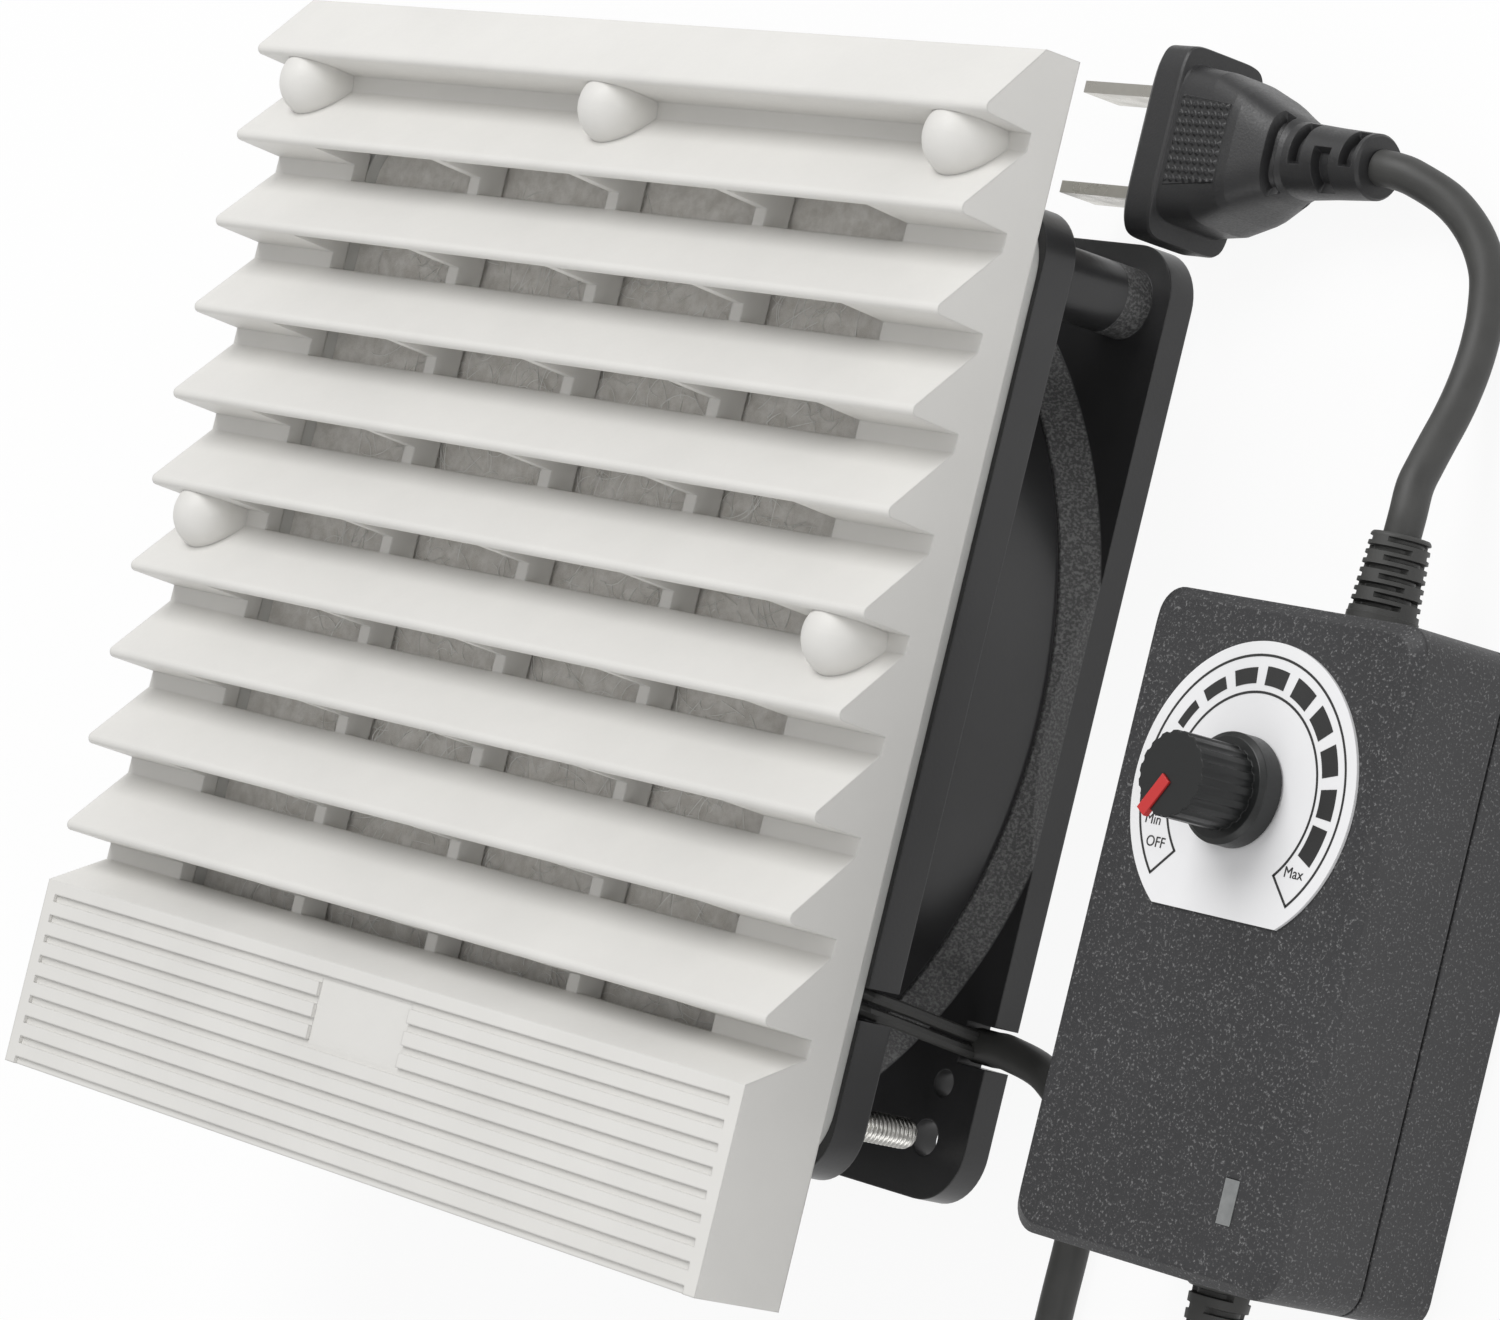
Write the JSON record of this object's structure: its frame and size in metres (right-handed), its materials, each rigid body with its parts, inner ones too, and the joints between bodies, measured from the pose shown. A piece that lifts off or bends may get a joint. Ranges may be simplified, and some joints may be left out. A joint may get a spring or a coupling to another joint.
{
  "type": "filter fan unit with speed controller",
  "caption": "Enclosure filter fan: clip-on louvred cover, filter mat, mounting frame and axial fan, with a dial speed controller on its cord and a two-blade mains plug.",
  "frame": {"origin": "centre of the fan's rear face, which lies on the floor", "axes": "+X to the side where the cord leaves, +Y towards the first louvre slot, +Z out of the louvre; the impeller turns about Z"},
  "size_m": [0.2105, 0.2053, 0.0529],
  "materials": {
    "cover_plastic": "satin",
    "filter_fibre": "matt",
    "frame_plastic": "satin",
    "gasket_foam": "matt",
    "fan_black": "textured",
    "screw_steel": "bright",
    "shaft_steel": "ground",
    "yoke_steel": "plated",
    "magnet_black": "matt",
    "core_steel": "stamped",
    "coil_copper": "enamelled",
    "board_green": "satin",
    "bearing_steel": "polished",
    "clip_white": "matt",
    "lead_grey": "satin",
    "cord_rubber": "satin",
    "box_black": "speckled",
    "dial_white": "printed",
    "knob_black": "satin",
    "pointer_red": "satin",
    "lamp_clear": "clear",
    "plug_black": "matt",
    "blade_metal": "polished"
  },
  "bodies": {
    "fan_body": {"filter_mat": "filter_fibre", "base_frame": "frame_plastic", "panel_gasket": "gasket_foam", "fan_frame": "fan_black", "fan_screws": "screw_steel", "screw_nuts": "screw_steel", "stator_core": "core_steel", "stator_coils": "coil_copper", "motor_board": "board_green", "front_bearing": "bearing_steel", "rear_bearing": "bearing_steel", "preload_spring": "shaft_steel", "fan_leads": "lead_grey", "fan_cord": "cord_rubber", "mains_cord": "cord_rubber", "controller_base": "box_black", "controller_lid": "box_black", "dial_plate": "dial_white", "speed_control": "core_steel", "controller_board": "board_green", "lamp_window": "lamp_clear", "outlet_relief": "cord_rubber", "inlet_relief": "cord_rubber", "plug_body": "plug_black", "plug_blades": "blade_metal"},
    "cover": {"louvre_cover": "cover_plastic"},
    "rotor": {"impeller": "fan_black", "motor_shaft": "shaft_steel", "rotor_yoke": "yoke_steel", "rotor_magnet": "magnet_black", "shaft_clip": "clip_white"},
    "knob": {"speed_knob": "knob_black", "knob_pointer": "pointer_red", "control_spindle": "shaft_steel"}
  },
  "joints": [
    {"name": "cover_pull", "type": "slide", "parent": "fan_body", "child": "cover", "axis": [0, 0, 1], "range_m": [0, 0.04]},
    {"name": "impeller_spin", "type": "hinge", "parent": "fan_body", "child": "rotor", "pos_m": [0, 0, 0.012], "axis": [0, 0, 1], "continuous": true},
    {"name": "knob_turn", "type": "hinge", "parent": "fan_body", "child": "knob", "pos_m": [0.115, -0.0042, 0.03], "axis": [0, 0, 1], "range_deg": [-294, 0]}
  ]
}
